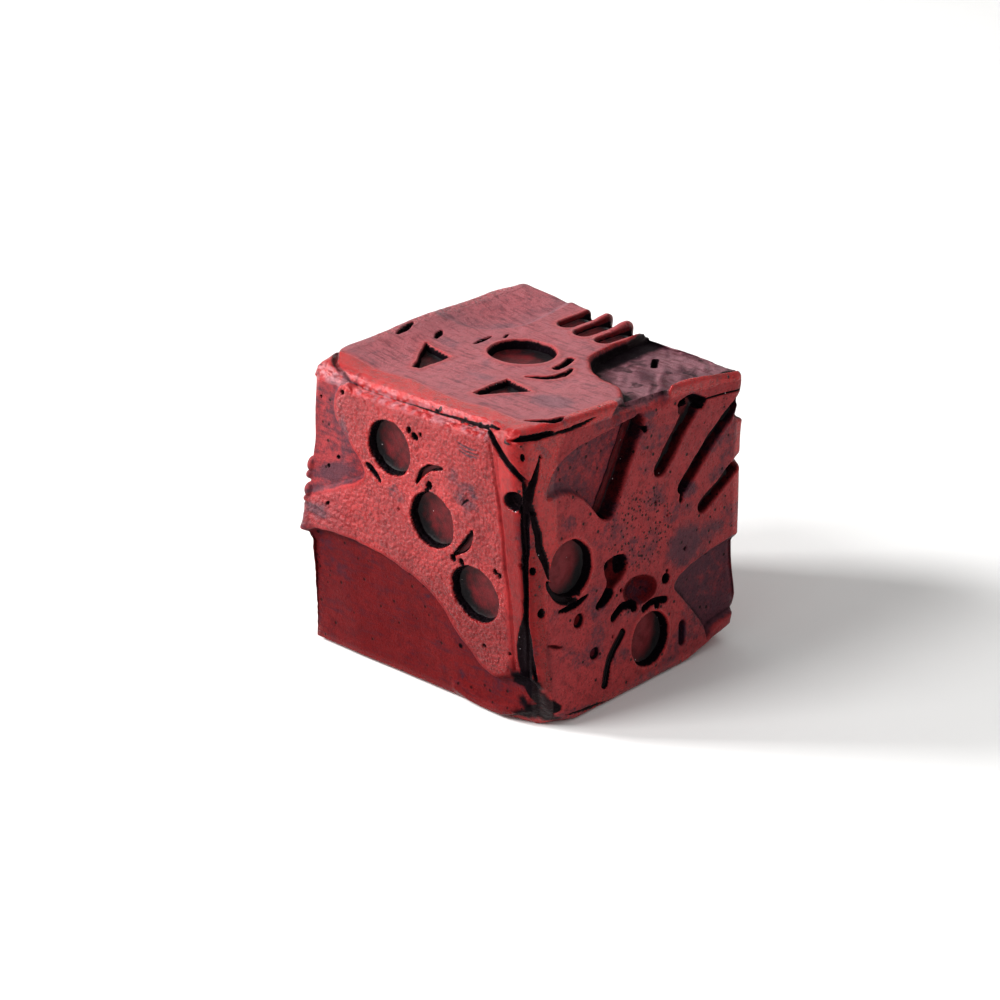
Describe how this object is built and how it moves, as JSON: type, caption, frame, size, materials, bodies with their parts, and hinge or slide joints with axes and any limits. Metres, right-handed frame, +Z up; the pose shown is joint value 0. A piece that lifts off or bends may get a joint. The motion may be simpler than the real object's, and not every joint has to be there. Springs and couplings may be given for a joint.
{
  "type": "casting resin die",
  "caption": "Hand-cast cube die for tabletop play, with sunken round pips, carved finger grooves and hollows, rounded leaning edges and dark paint pooled in the recesses.",
  "frame": {"origin": "centre of the footprint on the table, under the six-pip side", "axes": "+Z up through the one-pip side, -Y out of the three-pip side, +X out of the two-pip side"},
  "size_m": [0.0261, 0.0253, 0.0257],
  "materials": {
    "red_resin": "satin red cast resin with a rubbed black wash, slightly pebbled and worn brighter on the edges",
    "dark_paint": "semi-gloss dried black-brown wash pooled in the recesses"
  },
  "bodies": {
    "root": {"cast_body": "red_resin", "groove_paint_back_1": "dark_paint", "groove_paint_back_2": "dark_paint", "groove_paint_back_3": "dark_paint", "groove_paint_right_1": "dark_paint", "groove_paint_right_2": "dark_paint", "groove_paint_right_3": "dark_paint", "groove_paint_right_4": "dark_paint", "groove_paint_top_1": "dark_paint", "groove_paint_top_2": "dark_paint", "groove_paint_top_3": "dark_paint", "line_paint_back_1": "dark_paint", "line_paint_front_1": "dark_paint", "line_paint_front_2": "dark_paint", "line_paint_left_1": "dark_paint", "line_paint_right_1": "dark_paint", "line_paint_top_1": "dark_paint", "pip_paint_back_1": "dark_paint", "pip_paint_back_2": "dark_paint", "pip_paint_back_3": "dark_paint", "pip_paint_back_4": "dark_paint", "pip_paint_bottom_1": "dark_paint", "pip_paint_bottom_2": "dark_paint", "pip_paint_bottom_3": "dark_paint", "pip_paint_bottom_4": "dark_paint", "pip_paint_bottom_5": "dark_paint", "pip_paint_bottom_6": "dark_paint", "pip_paint_front_1": "dark_paint", "pip_paint_front_2": "dark_paint", "pip_paint_front_3": "dark_paint", "pip_paint_left_1": "dark_paint", "pip_paint_left_2": "dark_paint", "pip_paint_left_3": "dark_paint", "pip_paint_left_4": "dark_paint", "pip_paint_left_5": "dark_paint", "pip_paint_right_1": "dark_paint", "pip_paint_right_2": "dark_paint", "pip_paint_top_1": "dark_paint", "wedge_paint_top_1": "dark_paint", "wedge_paint_top_2": "dark_paint"}
  },
  "joints": []
}
